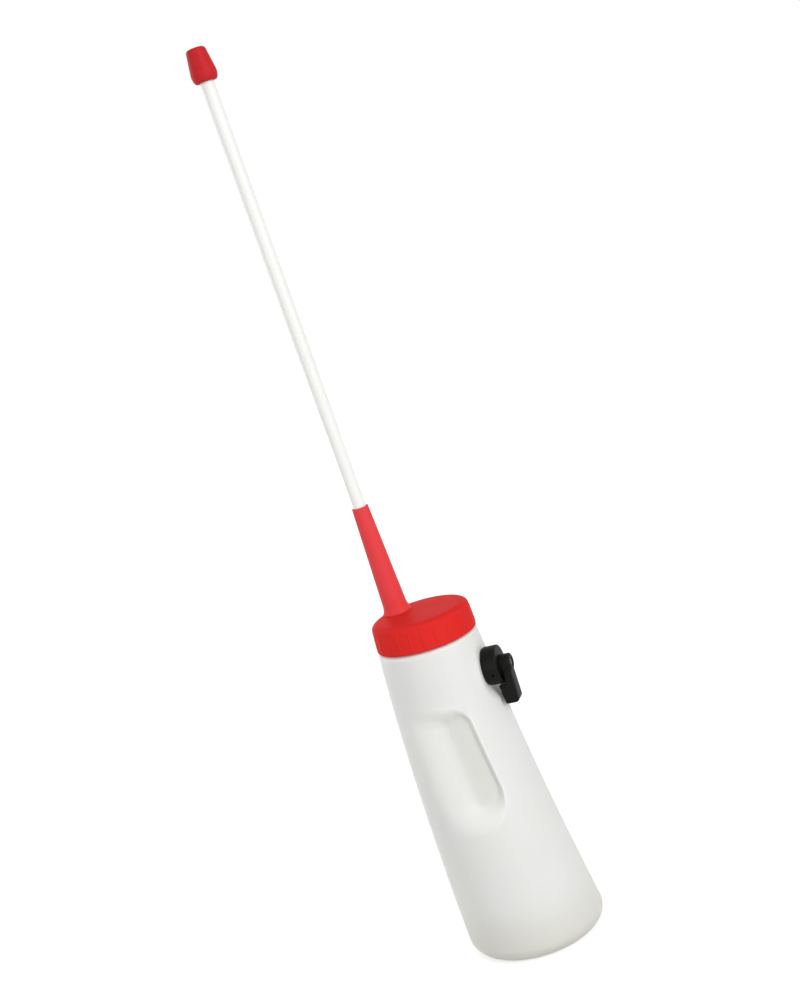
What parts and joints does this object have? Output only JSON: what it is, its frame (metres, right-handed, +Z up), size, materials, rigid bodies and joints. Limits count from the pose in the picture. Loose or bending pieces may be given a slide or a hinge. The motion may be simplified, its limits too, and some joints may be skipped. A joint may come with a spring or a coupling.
{
  "type": "livestock drencher",
  "caption": "Translucent drench bottle with pinch-grip hollows, ribbed red screw cap, tapered spout, long stiff tube with a rounded soft tip, and a black quarter-turn air tap.",
  "frame": {"origin": "On the axis of the bottle's mouth, in the plane that the bottle stands on.", "axes": "+Z is up along the mouth's axis, +X points to the air tap, and the grip hollows face +Y and -Y."},
  "size_m": [0.1342, 0.1258, 0.8371],
  "materials": {
    "bottle": "blown natural polyethylene, milky and translucent",
    "seal": "soft pale sealing ring",
    "cap": "moulded, satin gloss",
    "spout": "moulded, satin gloss",
    "tube": "extruded, smooth",
    "tip": "soft moulded, satin",
    "tap": "moulded, fine matt",
    "gasket": "moulded, matt",
    "washer": "natural nylon",
    "spindle": "moulded acetal",
    "screw": "stainless, plain"
  },
  "bodies": {
    "bottle": {"bottle_shell": "bottle", "tap_body": "tap", "tap_gasket": "gasket", "tap_slip_washer": "washer", "tap_back_nut": "tap"},
    "seal": {"cap_seal": "seal"},
    "cap": {"screw_cap": "cap", "spout": "spout", "drench_tube": "tube", "tube_tip": "tip"},
    "tap_handle": {"tap_spindle": "spindle", "tap_o_rings": "gasket", "tap_lever": "tap", "tap_screw": "screw"}
  },
  "joints": [
    {"name": "cap_lift", "type": "slide", "parent": "bottle", "child": "seal", "axis": [0, 0, 1], "range_m": [0, 0.009]},
    {"name": "cap_turn", "type": "hinge", "parent": "seal", "child": "cap", "pos_m": [0, 0, 0.294], "axis": [0, 0, 1], "range_deg": [0, 540]},
    {"name": "tap_turn", "type": "hinge", "parent": "bottle", "child": "tap_handle", "pos_m": [0.0447, 0, 0.256], "axis": [-1, 0, 0], "range_deg": [0, 90]}
  ],
  "couplings": [
    {"joint": "cap_lift", "follows": "cap_turn", "m_per_rad": 0.000954}
  ]
}
